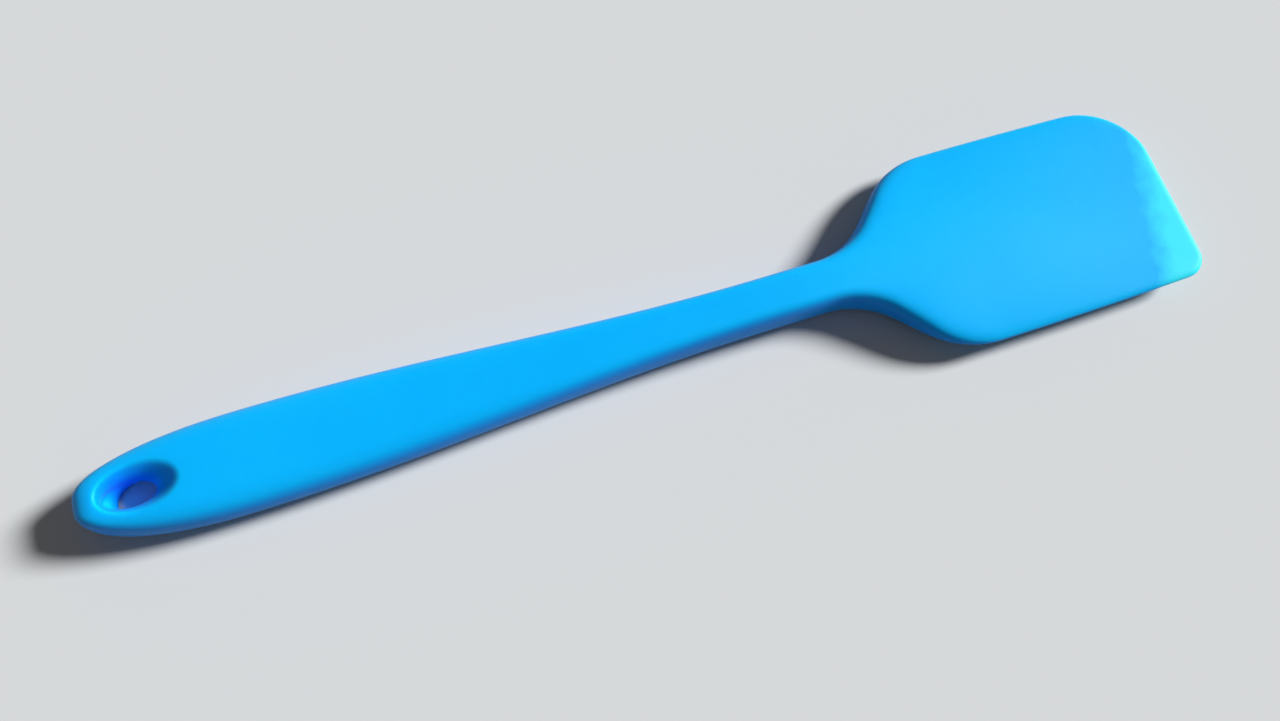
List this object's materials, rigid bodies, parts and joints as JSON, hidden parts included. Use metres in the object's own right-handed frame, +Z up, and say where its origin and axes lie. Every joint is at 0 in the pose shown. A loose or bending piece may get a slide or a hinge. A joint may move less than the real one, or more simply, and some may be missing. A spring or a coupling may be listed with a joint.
{
  "type": "silicone spatula",
  "caption": "Silicone spatula moulded round a hidden nylon stiffener, with a rounded tail and hanging hole, a slim neck and a thin flexible blade with one broad and one tight corner.",
  "frame": {"origin": "middle of the bounding box, on the table plane under the handle's lower land", "axes": "+X along the spatula from the tail to the blade tip, +Y towards the blade side with the broad rounded corner, +Z up through the thickness"},
  "size_m": [0.28, 0.0534, 0.012],
  "materials": {
    "sky_blue_silicone": "satin moulded silicone with a faint sheen",
    "glass_filled_nylon": "dry matte glass-filled nylon"
  },
  "bodies": {
    "root": {"silicone_overmould": "sky_blue_silicone", "nylon_core": "glass_filled_nylon"}
  },
  "joints": []
}
